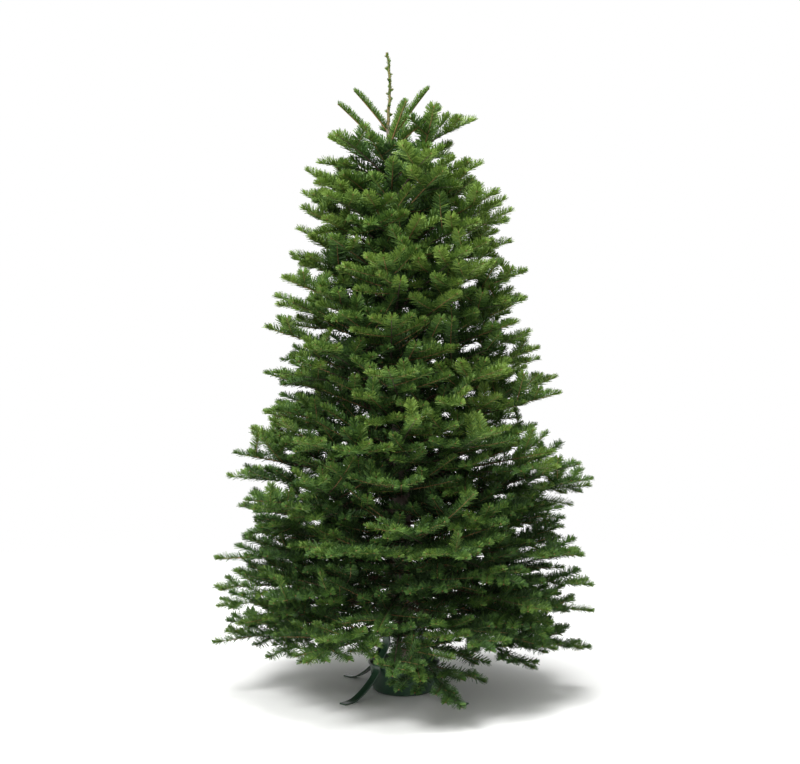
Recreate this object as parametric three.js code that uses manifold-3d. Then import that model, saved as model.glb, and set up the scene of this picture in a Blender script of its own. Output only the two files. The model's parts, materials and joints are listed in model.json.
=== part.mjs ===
// A cut fir tree for Christmas, 2.2 m tall, standing in a plain steel water stand.
//
// Millimetres, +Z up. The origin is the middle of the stand's flat underside, on the floor, and -Y is
// the front. The crown is built in whorls. Each foliage mass is one branching solid: a stem that runs
// on as its main limb and forks into one or two companion limbs. Every limb has sprays along it and one
// at its tip. A spray is a flat three-pronged body that stands for a twig and all its needles.

import * as THREE from "three";
import { mergeVertices } from "three/addons/utils/BufferGeometryUtils.js";
import Module from "manifold-3d";

const wasm = await Module();
wasm.setup();

// The whole tree
const CROWN_SEED = 274;
const TIP_Z = 2200; // floor to the tip of the leader
const TOP_NODE_Z = 1950; // the trunk ends here and the leader shoot begins
const GAP = 0.3; // clearance between pieces that meet
const SPRAY_CLEARANCE = 1.2; // least distance between sprays of different masses
const FLOOR_CLEARANCE = 60; // no spray hangs lower than this

// The stand
const BASIN = { foot: 98, shoulder: 110, rim: 122, lip: 4, height: 104, wall: 4, floor: 4 };
const COLLAR = { inner: 79, outer: 84, bottom: 165, top: 205 };
const SCREW = { radius: 5, start: 30, end: 122, barRadius: 3.5, barLength: 44, barFromEnd: 4 };
const SCREW_COUNT = 4;
const LEG = { width: 30, thickness: 5, footStart: 252, footEnd: 292, count: 4, turn: 45, rimGap: 1 };
const LEG_BENDS = { overRim: 6, underRim: 14, knee: { out: 26, z: 58 }, ankle: { in: 40, z: 18 } };
const UNDER_TRUNK = -20; // the trunk's clearance shape runs on down to this height

// The trunk, from its flat cut on the basin's floor to the top whorl
const CUT_Z = BASIN.floor + GAP;
const TRUNK = { butt: 43, top: 6, flare: 6, flareHeight: 70, leanX: -55, leanY: 12, sides: 12 };
const TRUNK_RINGS = 16; // above the flare

// The whorls from the top down: the height on the trunk where each one starts, its number of masses, the
// azimuth of the first one (0 is right, 90 is back), the number of companion limbs in each mass and how
// far they turn away from the main one, and the share of the main limb that is a bare bough. The masses
// of a whorl leave the trunk one below the other, spread evenly down to the next whorl.
const WHORLS = [
  { z: 1790, count: 5, turn: 10, companions: 1, fan: 30, bare: 0 },
  { z: 1605, count: 4, turn: 46, companions: 2, fan: 30, bare: 0 },
  { z: 1430, count: 4, turn: 8, companions: 2, fan: 30, bare: 0 },
  { z: 1240, count: 4, turn: -30, companions: 2, fan: 32, bare: 0 },
  { z: 1050, count: 5, turn: 2, companions: 2, fan: 26, bare: 0 },
  { z: 850, count: 5, turn: 36, companions: 2, fan: 26, bare: 0 },
  { z: 650, count: 5, turn: -2, companions: 2, fan: 32, bare: 0.28 },
  { z: 455, count: 5, turn: 126, companions: 2, fan: 32, bare: 0.28 },
];
const CROWN_BASE_Z = 255; // the lowest mass leaves the trunk just above this
const WHORL_ORDER = { 4: [0, 2, 1, 3], 5: [0, 2, 4, 1, 3] }; // place of each mass from the top of its whorl

// The crown's outline: for a limb that leaves the trunk at this height, how far it reaches to the left
// and to the right, and its elevation at the trunk and at its tip
const OUTLINE = [
  { z: 1790, left: 232, right: 280, rise: 42, tipRise: 22 },
  { z: 1600, left: 285, right: 340, rise: 32, tipRise: 16 },
  { z: 1400, left: 353, right: 412, rise: 24, tipRise: 12 },
  { z: 1200, left: 420, right: 450, rise: 18, tipRise: 9 },
  { z: 1000, left: 461, right: 494, rise: 14, tipRise: 7 },
  { z: 800, left: 547, right: 563, rise: 10, tipRise: 6 },
  { z: 600, left: 590, right: 630, rise: 6, tipRise: 4 },
  { z: 480, left: 635, right: 660, rise: 0, tipRise: 1 },
  { z: 380, left: 640, right: 630, rise: -5, tipRise: -3 },
  { z: 270, left: 600, right: 630, rise: -11, tipRise: -8 },
];

// The top shoots, one year old and unbranched: azimuth, height on the trunk, length and elevation
const TOP_SHOOTS = [
  { azimuth: 171, z: 1926, length: 172, rise: 50 },
  { azimuth: 196, z: 1846, length: 232, rise: 43 },
  { azimuth: 18, z: 1886, length: 226, rise: 53 },
  { azimuth: -14, z: 1858, length: 216, rise: 38 },
  { azimuth: -68, z: 1868, length: 196, rise: 44 },
];

const SHOOT_RADIUS = { base: 4.2, tip: 2 };
const SHOOT_BEND = 3; // degrees that its elevation is above the mean at the start and below it at the tip
const COMB = { start: 0.12, share: 0.88, needle: 20, teeth: 5, roll: 38, thickness: 2 };

// The leader, its short needles and the way they turn about it
const LEADER_RADIUS = { base: 5.4, tip: 3.4 };
const LEADER_NEEDLES = { count: 10, first: 0.12, last: 0.92, lean: 38, turn: 138 };
const LEADER_NEEDLE = { radius: 1.8, short: 17, long: 22, sunk: 1.2 };

// How a mass branches
const AZIMUTH_JITTER = 6; // degrees either way
const HEIGHT_JITTER = 8; // millimetres either way
const COMPANIONS = [
  { hand: 1, drop: 18, reach: 0.88, start: 0.06 },
  { hand: -1, drop: -12, reach: 0.9, start: 0.1 },
];
const COMPANION_THICKNESS = 0.75; // of what a main limb of the same length has
const LIMB_STEPS = 5;
const LIMB_END = 0.8; // share of its curve where a limb ends and its tip spray begins
const LIMB_RINGS = 2;
const LIMB_RADIUS = { base: 3, share: 0.014, tip: 2.2 };
const LIMB_ATTEMPTS = [0, 4, -4, 8, -8, 12, -12]; // changes of elevation tried before a limb is left out
const BARE_TO_NODE = 0.08; // share of the main limb between the end of a bare bough and its first spray

// The sprays
const NODE_SPACING = 104; // along a limb, between side sprays
const NODE_SPAN = { first: 0.26, last: 0.7 }; // shares of a limb between which side sprays leave it
const SIDE_ANGLE = 56;
const SIDE_LENGTH = { share: 0.76, power: 0.8, least: 58 };
const SPRAY_SUNK = 0.25; // how far its root is past the middle of its limb, of the limb's radius
const TIP_SPRAY_START = 0.8;
const TIP_SPRAY_BEYOND = 40; // how far a tip spray passes the end of its curve
const SPRAY_WIDTH = { share: 0.25, least: 22 }; // half the width, from the length
const SPRAY_THICKNESS = { above: 0.25, below: 0.15, at: 0.36 }; // shares of its length, and where
const SPRAY_OUTLINE = [
  [0, 0],
  [0.62, -1],
  [0.52, -0.38],
  [1, 0],
  [0.6, 0.38],
  [0.72, 1],
]; // shares of the length and of half the width: root, prong, notch, tip, notch, prong
const SPRAY_ROLL = 56; // degrees either way
const SPRAY_LIFT = { mean: 3, spread: 19 }; // elevation over its limb, in degrees
// Changes of elevation and of angle tried before a spray is left out. A tip spray takes only the small
// ones.
const TIP_TILT_LIMIT = 25;
const SPRAY_ATTEMPTS = [
  [0, 0],
  [10, 0],
  [-10, 0],
  [20, 4],
  [-20, 4],
  [5, -12],
  [30, 0],
  [-28, -6],
  [40, 0],
];

const MATERIALS = {
  bark: { color: 0x6a5a4b, roughness: 0.9, metalness: 0 },
  bough: { color: 0x5f4a38, roughness: 0.88, metalness: 0 },
  foliage: { color: 0x2f5426, roughness: 0.6, metalness: 0 },
  young: { color: 0x5c7f36, roughness: 0.6, metalness: 0 },
  enamel: { color: 0x1f3d2b, roughness: 0.4, metalness: 0.1 },
  zinc: { color: 0x9da1a3, roughness: 0.4, metalness: 0.9 },
};

const radians = THREE.MathUtils.degToRad;
const lerp = THREE.MathUtils.lerp;
const vector = (x, y, z) => new THREE.Vector3(x, y, z);
const UP = vector(0, 0, 1);

// Repeatable numbers from 0 to 1 (the mulberry32 rule).
function dice(seed) {
  let state = seed >>> 0;
  return () => {
    state = (state + 0x6d2b79f5) >>> 0;
    let t = state;
    t = Math.imul(t ^ (t >>> 15), t | 1);
    t ^= t + Math.imul(t ^ (t >>> 7), t | 61);
    return ((t ^ (t >>> 14)) >>> 0) / 4294967296;
  };
}

// Turns a closed three.js geometry into a solid, placed by the matrix if one is given.
function solid(geometry, matrix) {
  const bare = geometry.index ? geometry.toNonIndexed() : geometry.clone();
  bare.deleteAttribute("normal");
  bare.deleteAttribute("uv");
  if (matrix) bare.applyMatrix4(matrix);
  const merged = mergeVertices(bare, 1e-3);
  return new wasm.Manifold(
    new wasm.Mesh({
      numProp: 3,
      vertProperties: merged.attributes.position.array,
      triVerts: new Uint32Array(merged.index.array),
    }),
  );
}

// Turns a solid back into a three.js geometry.
function geometryOf(made) {
  const mesh = made.getMesh();
  const geometry = new THREE.BufferGeometry();
  geometry.setAttribute("position", new THREE.BufferAttribute(mesh.vertProperties, 3));
  geometry.setIndex(new THREE.BufferAttribute(mesh.triVerts, 1));
  geometry.computeVertexNormals();
  return geometry;
}

// The trunk leans to the left by a growing amount and a little to the back.
function trunkAxis(z) {
  const t = Math.max(0, z) / TOP_NODE_Z;
  return vector(TRUNK.leanX * t ** 1.6, TRUNK.leanY * Math.sin(Math.PI * t), z);
}

// Its radius falls evenly, with a flare at the cut.
function trunkRadius(z) {
  const t = THREE.MathUtils.clamp((z - CUT_Z) / (TOP_NODE_Z - CUT_Z), 0, 1);
  return lerp(TRUNK.butt, TRUNK.top, t ** 0.92) + TRUNK.flare * Math.exp(-(z - CUT_Z) / TRUNK.flareHeight);
}

// The trunk as one turned solid, bent along its axis. Extra radius gives its clearance shape.
function trunkSolid(extra = 0) {
  const low = extra ? UNDER_TRUNK : CUT_Z;
  const high = extra ? TOP_NODE_Z + extra : TOP_NODE_Z;
  const heights = [low, CUT_Z + 40];
  for (let i = 0; i < TRUNK_RINGS; i++) heights.push(lerp(100, TOP_NODE_Z, i / TRUNK_RINGS));
  heights.push(high);
  const profile = heights.map((z) => new THREE.Vector2(trunkRadius(Math.max(z, CUT_Z)) + extra, z));
  profile.unshift(new THREE.Vector2(0, low));
  profile.push(new THREE.Vector2(0, high));
  const turned = new THREE.LatheGeometry(profile, TRUNK.sides);
  turned.rotateX(Math.PI / 2);
  const position = turned.attributes.position;
  for (let i = 0; i < position.count; i++) {
    const axis = trunkAxis(position.getZ(i));
    position.setX(i, position.getX(i) + axis.x);
    position.setY(i, position.getY(i) + axis.y);
  }
  return solid(turned);
}

// A limb: a curve that leaves the trunk in the direction of its azimuth and bends evenly from its first
// elevation to its last, until it has reached far enough from the start.
function limbCurve(start, azimuth, rise, tipRise, reach) {
  const mean = radians((rise + tipRise) / 2);
  const step = reach / Math.cos(mean) / LIMB_STEPS;
  const points = [start.clone()];
  for (let i = 0; i < LIMB_STEPS; i++) {
    const elevation = radians(lerp(rise, tipRise, (i + 0.5) / LIMB_STEPS));
    const flat = Math.cos(elevation);
    const heading = radians(azimuth);
    const forward = vector(Math.cos(heading) * flat, Math.sin(heading) * flat, Math.sin(elevation));
    points.push(points[i].clone().addScaledVector(forward, step));
  }
  return new THREE.CatmullRomCurve3(points);
}

// A tapering bar along a curve: a cylinder whose rings are moved onto the curve, with flat sides.
function taperedBar(curve, from, to, radiusAt, sides, rings) {
  const bar = new THREE.CylinderGeometry(1, 1, 1, sides, rings, false, Math.PI / sides);
  const position = bar.attributes.position;
  for (let i = 0; i < position.count; i++) {
    const along = lerp(from, to, position.getY(i) + 0.5);
    const frame = frameAt(curve, along);
    const radius = radiusAt(along);
    const point = frame.point
      .clone()
      .addScaledVector(frame.side, position.getX(i) * radius)
      .addScaledVector(frame.up, -position.getZ(i) * radius);
    position.setXYZ(i, point.x, point.y, point.z);
  }
  return solid(bar);
}

// The point on a curve with its forward, sideways and upward directions.
function frameAt(curve, along) {
  const clamped = THREE.MathUtils.clamp(along, 0, 1);
  const forward = curve.getTangentAt(clamped);
  const point = curve.getPointAt(clamped);
  if (along > 1) point.addScaledVector(forward, (along - 1) * curve.getLength());
  if (along < 0) point.addScaledVector(forward, along * curve.getLength());
  const side = vector(0, 0, 0).crossVectors(UP, forward).normalize();
  const up = vector(0, 0, 0).crossVectors(forward, side);
  return { point, forward, side, up };
}

// A spray: a flat body with a prong at its tip and one on each side, thickest near its middle. It lies
// along +X with its root at the origin.
function sprayGeometry(length) {
  const half = SPRAY_WIDTH.least + SPRAY_WIDTH.share * length;
  const outline = SPRAY_OUTLINE.map(([x, y]) => [x * length, y * half, 0]);
  const middle = length * SPRAY_THICKNESS.at;
  const above = [middle, 0, SPRAY_THICKNESS.above * length];
  const below = [middle, 0, -SPRAY_THICKNESS.below * length];
  const top = outline.length;
  const faces = outline.flatMap((_, i) => {
    const next = (i + 1) % outline.length;
    return [i, next, top, next, i, top + 1];
  });
  const spray = new THREE.BufferGeometry();
  spray.setAttribute("position", new THREE.Float32BufferAttribute([...outline, above, below].flat(), 3));
  spray.setIndex(faces);
  return spray;
}

// Places a spray with its root at a point, along a direction, rolled about it.
function spraySolid(root, forward, up, roll, length) {
  const side = vector(0, 0, 0).crossVectors(up, forward).normalize();
  const flat = vector(0, 0, 0).crossVectors(forward, side);
  const turn = new THREE.Matrix4().makeBasis(forward, side, flat);
  turn.multiply(new THREE.Matrix4().makeRotationX(radians(roll)));
  turn.setPosition(root);
  return solid(sprayGeometry(length), turn);
}

// A mass while it grows: its limbs, and its parts so far with the box of each. A part that belongs to a
// limb, the limb's own bar or one of its sprays, has that limb's number.
class Mass {
  constructor(name) {
    this.name = name;
    this.limbs = [];
    this.parts = [];
  }
  add(part, limb, isSpray = false) {
    this.parts.push({ part, box: part.boundingBox(), limb, isSpray });
  }
}

function boxesNear(a, b, distance) {
  return [0, 1, 2].every((k) => a.min[k] - distance < b.max[k] && b.min[k] - distance < a.max[k]);
}

// True if a part keeps its distance from every part of the other masses, from the obstacles and from the
// parts of its own mass that it isn't joined to. A bough is no obstacle to the mass that owns it.
function isClear(part, owner, joined, masses, obstacles) {
  const box = part.boundingBox();
  const isNear = (other) =>
    boxesNear(box, other.box, SPRAY_CLEARANCE) && part.minGap(other.part, SPRAY_CLEARANCE) < SPRAY_CLEARANCE;
  if (obstacles.some((other) => other.owner !== owner && isNear(other))) return false;
  return masses.every((mass) => {
    const others = mass === owner ? mass.parts.filter((other) => !joined(other)) : mass.parts;
    return !others.some(isNear);
  });
}

const limbRadius = (length, share = 1) => (along) =>
  lerp((LIMB_RADIUS.base + LIMB_RADIUS.share * length) * share, LIMB_RADIUS.tip, Math.min(1, along));

// The crown's outline at a height, between the rows of its table.
function outlineAt(z) {
  const below = OUTLINE.findIndex((row) => row.z <= z);
  const low = OUTLINE[below < 0 ? OUTLINE.length - 1 : Math.max(1, below)];
  const high = OUTLINE[OUTLINE.indexOf(low) - 1];
  const t = THREE.MathUtils.clamp((z - low.z) / (high.z - low.z), 0, 1);
  const mix = (key) => lerp(low[key], high[key], t);
  return { left: mix("left"), right: mix("right"), rise: mix("rise"), tipRise: mix("tipRise") };
}

// Where every mass of a whorl starts, and in which directions its limbs go.
function planWhorl(whorl, tier) {
  const next = tier + 1 < WHORLS.length ? WHORLS[tier + 1].z : CROWN_BASE_Z;
  const plans = [];
  for (let i = 0; i < whorl.count; i++) {
    const roll = dice(CROWN_SEED + tier * 16 + i);
    const spread = () => roll() * 2 - 1;
    const azimuth = whorl.turn + (360 / whorl.count) * i + AZIMUTH_JITTER * spread();
    const place = WHORL_ORDER[whorl.count][i] / whorl.count;
    const z = lerp(whorl.z, next, place) + HEIGHT_JITTER * spread();
    const outline = outlineAt(z);
    const leftness = (1 - Math.cos(radians(azimuth))) / 2;
    const reach = lerp(outline.right, outline.left, leftness) * (1 + 0.03 * spread());
    const rise = outline.rise + 3 * spread();
    const main = limbCurve(trunkAxis(z), azimuth, rise, outline.tipRise, reach);
    const swap = i % 2 ? -1 : 1;
    const companions = COMPANIONS.slice(0, whorl.companions).map((companion) => {
      const fork = frameAt(main, whorl.bare + companion.start);
      return {
        hand: companion.hand * swap,
        start: fork.point,
        azimuth: azimuth + companion.hand * swap * whorl.fan * (1 + 0.12 * spread()),
        rise: rise - companion.drop + 3 * spread(),
        tipRise: outline.tipRise - companion.drop + 3 * spread(),
        reach: reach * (companion.reach + 0.04 * spread() - whorl.bare),
      };
    });
    plans.push({ name: `${tier + 1}${"abcde"[i]}`, main, companions, bare: whorl.bare, roll: spread });
  }
  return plans;
}

// The bare bough of a lower mass, from the trunk to where its foliage begins.
function boughSolid(plan, trunkClearance) {
  const length = plan.main.getLength();
  const bough = taperedBar(plan.main, 0, plan.bare, limbRadius(length), 6, 1);
  return bough.subtract(trunkClearance);
}

// The main limb of a mass. It starts from the tip of its bough, or else from the trunk.
function addMainLimb(mass, plan, trunkClearance) {
  const length = plan.main.getLength();
  const from = plan.bare ? plan.bare + GAP / length : 0;
  const limb = taperedBar(plan.main, from, LIMB_END, limbRadius(length), 4, LIMB_RINGS);
  mass.add(plan.bare ? limb : limb.subtract(trunkClearance), 0);
  const firstNode = plan.bare ? plan.bare + BARE_TO_NODE : 0;
  mass.limbs.push({ number: 0, curve: plan.main, firstNode, hand: 0 });
}

// A companion limb, at the first elevation where it stays clear of everything outside its mass.
function addCompanion(mass, companion, trunkClearance, masses, obstacles) {
  for (const lift of LIMB_ATTEMPTS) {
    const { start, azimuth, rise, tipRise, reach } = companion;
    const curve = limbCurve(start, azimuth, rise + lift, tipRise + lift, reach);
    const radius = limbRadius(curve.getLength(), COMPANION_THICKNESS);
    const bar = taperedBar(curve, 0, LIMB_END, radius, 4, LIMB_RINGS);
    const limb = bar.subtract(trunkClearance);
    if (isClear(limb, mass, () => true, masses, obstacles)) {
      const number = mass.limbs.length;
      mass.add(limb, number);
      mass.limbs.push({ number, curve, firstNode: 0, hand: companion.hand });
      return;
    }
  }
}

// The sprays of one limb, from the inside out: side sprays on alternate hands, then one at the tip. The
// first side spray of a companion points away from the main limb.
function planSprays(limb, spread) {
  const { curve, firstNode, hand } = limb;
  const length = curve.getLength();
  const sprays = [];
  const plan = (node, side, sprayLength) => {
    const lift = SPRAY_LIFT.mean + SPRAY_LIFT.spread * spread();
    sprays.push({ limb, node, hand: side, length: sprayLength, lift, roll: SPRAY_ROLL * spread() });
  };
  const { first, last } = NODE_SPAN;
  const count = Math.max(2, Math.round(((last - first) * length) / NODE_SPACING) + 1);
  let side = hand || (spread() > 0 ? 1 : -1);
  for (let i = 0; i < count; i++) {
    const node = Math.max(firstNode, lerp(first, last, i / (count - 1)));
    const shrinking = (1 - node) ** SIDE_LENGTH.power;
    const sideLength = (SIDE_LENGTH.least + SIDE_LENGTH.share * length * shrinking) * (1 + 0.08 * spread());
    plan(node, side, sideLength);
    side = -side;
  }
  plan(TIP_SPRAY_START, 0, (1 - TIP_SPRAY_START) * length + TIP_SPRAY_BEYOND);
  return sprays;
}

// Adds a spray to a mass where it stays clear of everything but its own limb, or leaves it out.
function addSpray(mass, spray, masses, obstacles) {
  const { curve, number } = spray.limb;
  const frame = frameAt(curve, spray.node);
  const sunk = limbRadius(curve.getLength())(spray.node) * SPRAY_SUNK;
  const isJoined = (other) => other.limb === number && !other.isSpray;
  for (const [tilt, turn] of SPRAY_ATTEMPTS) {
    if (tilt > TIP_TILT_LIMIT && !spray.hand) continue;
    const lift = radians(tilt + spray.lift);
    const angle = radians(SIDE_ANGLE + turn) * spray.hand;
    const forward = frame.forward
      .clone()
      .multiplyScalar(Math.cos(angle) * Math.cos(lift))
      .addScaledVector(frame.side, Math.sin(angle) * Math.cos(lift))
      .addScaledVector(frame.up, Math.sin(lift))
      .normalize();
    const root = frame.point.clone().addScaledVector(forward, -sunk);
    const length = spray.length * (1 - Math.abs(tilt) / 120) + sunk;
    if (root.z + forward.z * length < FLOOR_CLEARANCE) continue;
    const part = spraySolid(root, forward, frame.up, spray.roll, length);
    if (isClear(part, mass, isJoined, masses, obstacles)) {
      mass.add(part, number, true);
      return;
    }
  }
}

// A young shoot at the top: a slim stem with two combs of needles that stand up from it in a V.
function shootSolid(shoot, trunkClearance) {
  const start = trunkAxis(shoot.z);
  const reach = shoot.length * Math.cos(radians(shoot.rise));
  const curve = limbCurve(start, shoot.azimuth, shoot.rise + SHOOT_BEND, shoot.rise - SHOOT_BEND, reach);
  const stem = taperedBar(curve, 0, 1, (along) => lerp(SHOOT_RADIUS.base, SHOOT_RADIUS.tip, along), 4, 2);
  const frame = frameAt(curve, COMB.start);
  const combs = [-COMB.roll, COMB.roll].map((roll) => {
    const turn = new THREE.Matrix4().makeBasis(frame.forward, frame.side, frame.up);
    turn.multiply(new THREE.Matrix4().makeRotationX(radians(roll)));
    turn.setPosition(frame.point);
    return solid(combGeometry(shoot.length * COMB.share), turn);
  });
  return wasm.Manifold.union([stem, ...combs]).subtract(trunkClearance);
}

// A comb of needles: a saw-toothed blade that stands up from the X axis.
function combGeometry(length) {
  const outline = new THREE.Shape();
  const pitch = length / COMB.teeth;
  outline.moveTo(0, -1);
  outline.lineTo(length, -1);
  for (let i = COMB.teeth; i > 0; i--) {
    const height = COMB.needle * (i === COMB.teeth ? 0.7 : 1);
    outline.lineTo(pitch * (i + 0.35), height);
    outline.lineTo(pitch * (i - 0.6), COMB.needle * 0.3);
  }
  const comb = new THREE.ExtrudeGeometry(outline, { depth: COMB.thickness, bevelEnabled: false });
  comb.translate(0, 0, -COMB.thickness / 2);
  return comb.rotateX(Math.PI / 2);
}

// The leader's line: nearly upright, and slightly bent as it grew.
function leaderCurve() {
  const base = trunkAxis(TOP_NODE_Z - 1);
  const rise = TIP_Z - base.z;
  return new THREE.CatmullRomCurve3([
    base,
    base.clone().add(vector(4, 0, rise * 0.25)),
    base.clone().add(vector(10, 2, rise * 0.5)),
    base.clone().add(vector(4, 3, rise * 0.78)),
    base.clone().add(vector(-2, 4, rise)),
  ]);
}

// The leader: the bare shoot above the top whorl, with a few short needles that lean up along it.
function leaderSolid(trunkClearance) {
  const curve = leaderCurve();
  const radiusAt = (along) => lerp(LEADER_RADIUS.base, LEADER_RADIUS.tip, along);
  const parts = [taperedBar(curve, 0, 1, radiusAt, 6, 5)];
  const { count, first, last, lean, turn } = LEADER_NEEDLES;
  const { radius, short, long, sunk } = LEADER_NEEDLE;
  for (let i = 0; i < count; i++) {
    const { point } = frameAt(curve, lerp(first, last, i / (count - 1)));
    const length = i % 4 === 0 ? long : short;
    const needle = new THREE.ConeGeometry(radius, length, 3);
    needle.translate(0, length / 2 - sunk, 0);
    needle.rotateZ(radians(-lean));
    needle.rotateX(Math.PI / 2);
    needle.rotateZ(radians(turn * i));
    needle.translate(point.x, point.y, point.z);
    parts.push(solid(needle));
  }
  return wasm.Manifold.union(parts).subtract(trunkClearance);
}

// The basin: a pressed steel bowl with a flat underside and a turned-out rim.
function basinSolid() {
  const { foot, shoulder, rim, lip, height, wall, floor } = BASIN;
  const profile = [
    [0, 0],
    [foot, 0],
    [shoulder, 12],
    [rim - 2, height - 8],
    [rim + lip, height - 5],
    [rim + lip, height],
    [rim - wall, height],
    [shoulder - wall, 14],
    [foot - 4, floor],
    [0, floor],
  ].map(([r, z]) => new THREE.Vector2(r, z));
  const bowl = new THREE.LatheGeometry(profile, 28);
  return solid(bowl.rotateX(Math.PI / 2));
}

// A leg: a steel strap bent in one plane, from the collar past the basin's rim to a flat foot.
function legSolid(index) {
  const half = LEG.thickness / 2;
  const outer = COLLAR.outer + GAP + half;
  const rim = BASIN.rim + BASIN.lip + LEG.rimGap + GAP + half;
  const path = [
    [outer, COLLAR.top],
    [outer, COLLAR.bottom],
    [rim, BASIN.height + LEG_BENDS.overRim],
    [rim, BASIN.height - LEG_BENDS.underRim],
    [rim + LEG_BENDS.knee.out, LEG_BENDS.knee.z],
    [LEG.footStart - LEG_BENDS.ankle.in, LEG_BENDS.ankle.z],
    [LEG.footStart, half],
    [LEG.footEnd, half],
  ].map(([r, z]) => new THREE.Vector2(r, z));
  const footIndex = path.length - 2;
  const normalAt = (i) => {
    if (i >= footIndex) return new THREE.Vector2(0, 1);
    const along = path[i + 1].clone().sub(path[Math.max(0, i - 1)]).normalize();
    return new THREE.Vector2(-along.y, along.x);
  };
  const offset = (distance) => path.map((point, i) => point.clone().addScaledVector(normalAt(i), distance));
  const outline = new THREE.Shape([...offset(half), ...offset(-half).reverse()]);
  const strap = new THREE.ExtrudeGeometry(outline, { depth: LEG.width, bevelEnabled: false });
  strap.translate(0, 0, -LEG.width / 2);
  strap.rotateX(Math.PI / 2);
  strap.rotateZ(radians(LEG.turn + (360 / LEG.count) * index));
  return solid(strap);
}

// The collar: a ring with four clamping screws that bear on the trunk.
function collarSolid(trunkClearance) {
  const { inner, outer, bottom, top } = COLLAR;
  const profile = [
    [inner, bottom],
    [outer, bottom],
    [outer, top],
    [inner, top],
    [inner, bottom],
  ].map(([r, z]) => new THREE.Vector2(r, z));
  const ring = solid(new THREE.LatheGeometry(profile, 28).rotateX(Math.PI / 2));
  const middle = (bottom + top) / 2;
  const parts = [ring];
  const { radius, start, end, barRadius, barLength, barFromEnd } = SCREW;
  for (let i = 0; i < SCREW_COUNT; i++) {
    const place = (geometry, centre) => {
      geometry.translate(centre, 0, middle);
      geometry.rotateZ(radians((360 / SCREW_COUNT) * i));
      parts.push(solid(geometry));
    };
    const rod = new THREE.CylinderGeometry(radius, radius, end - start, 6);
    const bar = new THREE.CylinderGeometry(barRadius, barRadius, barLength, 6);
    place(rod.rotateZ(Math.PI / 2), (start + end) / 2);
    place(bar.rotateX(Math.PI / 2), end - barFromEnd);
  }
  return wasm.Manifold.union(parts).subtract(trunkClearance);
}

const tree = new THREE.Group();

function addMesh(name, made, material) {
  const mesh = new THREE.Mesh(geometryOf(made), new THREE.MeshStandardMaterial(MATERIALS[material]));
  mesh.name = name;
  tree.add(mesh);
}

// Trunk and stand
const trunkClearance = trunkSolid(GAP);
const legs = Array.from({ length: LEG.count }, (_, i) => legSolid(i));
const collar = collarSolid(trunkClearance);
addMesh("trunk", trunkSolid(), "bark");
addMesh("leader", leaderSolid(trunkClearance), "young");
addMesh("stand_basin", basinSolid(), "enamel");
addMesh("stand_collar", collar, "zinc");
legs.forEach((leg, i) => addMesh(`stand_leg_${i + 1}`, leg, "enamel"));

// Top shoots
const shoots = TOP_SHOOTS.map((shoot) => shootSolid(shoot, trunkClearance));
shoots.forEach((shoot, i) => addMesh(`top_shoot_${i + 1}`, shoot, "young"));

// Boughs, limbs and sprays
const plans = WHORLS.flatMap(planWhorl);
const masses = plans.map((plan) => new Mass(`foliage_${plan.name}`));
const withBox = (part, owner) => ({ part, box: part.boundingBox(), owner });
const obstacles = [collar, ...legs, ...shoots].map((part) => withBox(part));
plans.forEach((plan, i) => {
  if (plan.bare) {
    const bough = boughSolid(plan, trunkClearance);
    addMesh(`bough_${plan.name}`, bough, "bough");
    obstacles.push(withBox(bough, masses[i]));
  }
  addMainLimb(masses[i], plan, trunkClearance);
});
plans.forEach((plan, i) => {
  plan.companions.forEach((companion) => {
    addCompanion(masses[i], companion, trunkClearance, masses, obstacles);
  });
});

// The outermost sprays are placed first, in turn, so that every mass gets its furthest tips.
const queues = plans.map((plan, i) => masses[i].limbs.flatMap((limb) => planSprays(limb, plan.roll)));
queues.forEach((queue) => queue.sort((a, b) => b.node - a.node));
const sprayObstacles = [withBox(trunkClearance), ...obstacles];
const longest = Math.max(...queues.map((queue) => queue.length));
for (let turn = 0; turn < longest; turn++) {
  queues.forEach((queue, i) => {
    if (queue[turn]) addSpray(masses[i], queue[turn], masses, sprayObstacles);
  });
}

masses.forEach((mass) => {
  addMesh(mass.name, wasm.Manifold.union(mass.parts.map((entry) => entry.part)), "foliage");
});

export default tree;
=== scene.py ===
"""A cut fir for Christmas in its water stand, grown from the limbs of the packed model.

Lengths are millimetres here, as in the model, and become metres where a mesh is made. The limbs follow
the model's own rule, and shoots of three more orders grow from them within the same reach. A pair of
numbers is a range, and one that goes by height runs from the floor to the crown's top.
"""

import json
from collections import namedtuple
from math import atan2, cos, pi, radians, sin
from types import SimpleNamespace as Values

import bpy
import numpy as np
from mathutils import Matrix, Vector

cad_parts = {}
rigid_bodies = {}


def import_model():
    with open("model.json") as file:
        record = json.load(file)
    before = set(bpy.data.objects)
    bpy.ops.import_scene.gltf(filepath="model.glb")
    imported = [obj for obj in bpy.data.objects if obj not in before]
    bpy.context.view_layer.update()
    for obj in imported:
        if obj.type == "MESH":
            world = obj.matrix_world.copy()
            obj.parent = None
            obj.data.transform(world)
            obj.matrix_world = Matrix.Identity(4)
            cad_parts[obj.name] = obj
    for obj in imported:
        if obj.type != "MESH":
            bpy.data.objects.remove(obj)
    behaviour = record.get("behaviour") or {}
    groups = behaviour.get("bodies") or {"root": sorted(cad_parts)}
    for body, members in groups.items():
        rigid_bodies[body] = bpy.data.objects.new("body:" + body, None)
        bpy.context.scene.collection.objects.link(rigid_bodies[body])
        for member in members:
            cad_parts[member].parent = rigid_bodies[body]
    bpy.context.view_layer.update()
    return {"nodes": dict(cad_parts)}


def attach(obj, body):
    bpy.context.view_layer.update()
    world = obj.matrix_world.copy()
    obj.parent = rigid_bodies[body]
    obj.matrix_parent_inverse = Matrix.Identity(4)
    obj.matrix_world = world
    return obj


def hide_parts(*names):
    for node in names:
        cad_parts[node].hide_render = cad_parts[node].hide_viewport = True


METRES = 0.001
GOLDEN = 0.618034
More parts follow.
